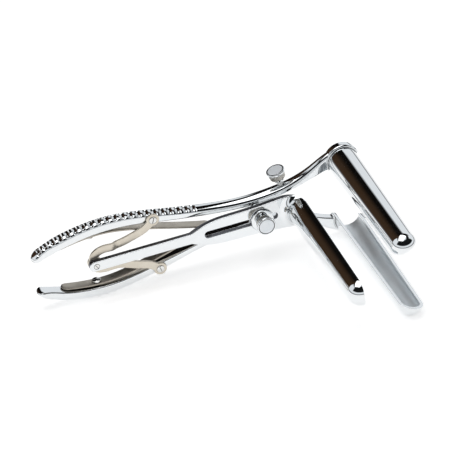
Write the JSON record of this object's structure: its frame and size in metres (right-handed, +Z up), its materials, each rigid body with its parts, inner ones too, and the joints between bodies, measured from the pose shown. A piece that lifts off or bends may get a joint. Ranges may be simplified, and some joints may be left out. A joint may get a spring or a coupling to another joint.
{
  "type": "three-blade anal speculum",
  "caption": "Hand-held speculum of polished steel: levers hinged like pliers spread blades set across them, a sliding middle blade follows, and knobs lock the opening.",
  "frame": {"origin": "under the middle of the instrument's box, at the level of the table it lies on; the hinge axis passes 37.87 mm in X, 51.47 mm in Y and 29.73 mm in Z from it", "axes": "+Z up from the table on which it lies on its side; +X from the handles to the blades; the blades point to -Y, all within 3 degrees"},
  "size_m": [0.2142, 0.13, 0.064],
  "materials": {
    "polished_steel": "mirror polished stainless steel",
    "satin_links": "satin nickel plated strip, warm tone",
    "spring_steel": "tempered spring strip, grey satin",
    "screw_steel": "turned and polished screw steel",
    "knob_steel": "satin knob with a knurled rim"
  },
  "bodies": {
    "frame": {"pivot_stud": "screw_steel", "guide_block": "screw_steel", "clamp_washer": "screw_steel"},
    "upper": {"upper_lever": "polished_steel", "upper_blade": "polished_steel", "upper_blade_collar": "polished_steel", "upper_link_screw": "screw_steel", "upper_spring": "spring_steel", "upper_spring_screw": "screw_steel"},
    "lower": {"lower_lever": "polished_steel", "lower_blade": "polished_steel", "lower_blade_collar": "polished_steel", "lower_link_screw": "screw_steel", "lower_spring": "spring_steel", "lower_spring_screw": "screw_steel"},
    "bar": {"centre_bar": "polished_steel", "middle_blade": "polished_steel", "bar_end_screw": "screw_steel"},
    "upper_link": {"upper_link": "satin_links"},
    "lower_link": {"lower_link": "satin_links"},
    "clamp_screw": {"clamp_screw": "screw_steel"},
    "clamp_knob": {"clamp_knob": "knob_steel"},
    "stop_screw": {"stop_screw": "screw_steel"},
    "stop_knob": {"stop_knob": "knob_steel"}
  },
  "joints": [
    {"name": "spread_upper", "type": "hinge", "parent": "frame", "child": "upper", "pos_m": [0.03787, 0.05147, 0.02973], "axis": [0.0006, -0.9996, -0.0299], "range_deg": [-19.2, 2.5], "deforming": ["upper_spring"]},
    {"name": "spread_lower", "type": "hinge", "parent": "frame", "child": "lower", "pos_m": [0.03787, 0.05147, 0.02973], "axis": [-0.0006, 0.9996, 0.0299], "range_deg": [-19.3, 2.6], "deforming": ["lower_spring"]},
    {"name": "bar_slide", "type": "slide", "parent": "frame", "child": "bar", "axis": [-0.9993, 0.0006, -0.0387], "range_m": [-0.029, 0.004]},
    {"name": "upper_link_swing", "type": "hinge", "parent": "upper", "child": "upper_link", "pos_m": [-0.02947, 0.05097, 0.04503], "axis": [0.0006, -0.9996, -0.0299], "range_deg": [-7.6, 57.7]},
    {"name": "lower_link_swing", "type": "hinge", "parent": "lower", "child": "lower_link", "pos_m": [-0.02809, 0.05204, 0.00927], "axis": [-0.0006, 0.9996, 0.0299], "range_deg": [-7.6, 57.7]},
    {"name": "clamp_feed", "type": "slide", "parent": "frame", "child": "clamp_screw", "axis": [0.0006, -0.9996, -0.0299], "range_m": [-0.00001, 0.00141]},
    {"name": "clamp_turn", "type": "hinge", "parent": "clamp_screw", "child": "clamp_knob", "pos_m": [0.03788, 0.04147, 0.02943], "axis": [0.0006, -0.9996, -0.0299], "range_deg": [0, 720]},
    {"name": "stop_feed", "type": "slide", "parent": "upper", "child": "stop_screw", "axis": [-0.2625, -0.029, 0.9645], "range_m": [-0.00141, 0.00141]},
    {"name": "stop_turn", "type": "hinge", "parent": "stop_screw", "child": "stop_knob", "pos_m": [0.05263, 0.05785, 0.05432], "axis": [-0.2625, -0.029, 0.9645], "range_deg": [-720, 720]}
  ],
  "couplings": [
    {"joint": "spread_lower", "follows": "spread_upper", "ratio": 1},
    {"joint": "bar_slide", "follows": "spread_upper", "m_per_rad": 0.085944},
    {"joint": "upper_link_swing", "follows": "spread_upper", "ratio": -3},
    {"joint": "lower_link_swing", "follows": "spread_upper", "ratio": -3},
    {"joint": "clamp_feed", "follows": "clamp_turn", "m_per_rad": 0.00011141},
    {"joint": "stop_feed", "follows": "stop_turn", "m_per_rad": 0.00011141}
  ]
}
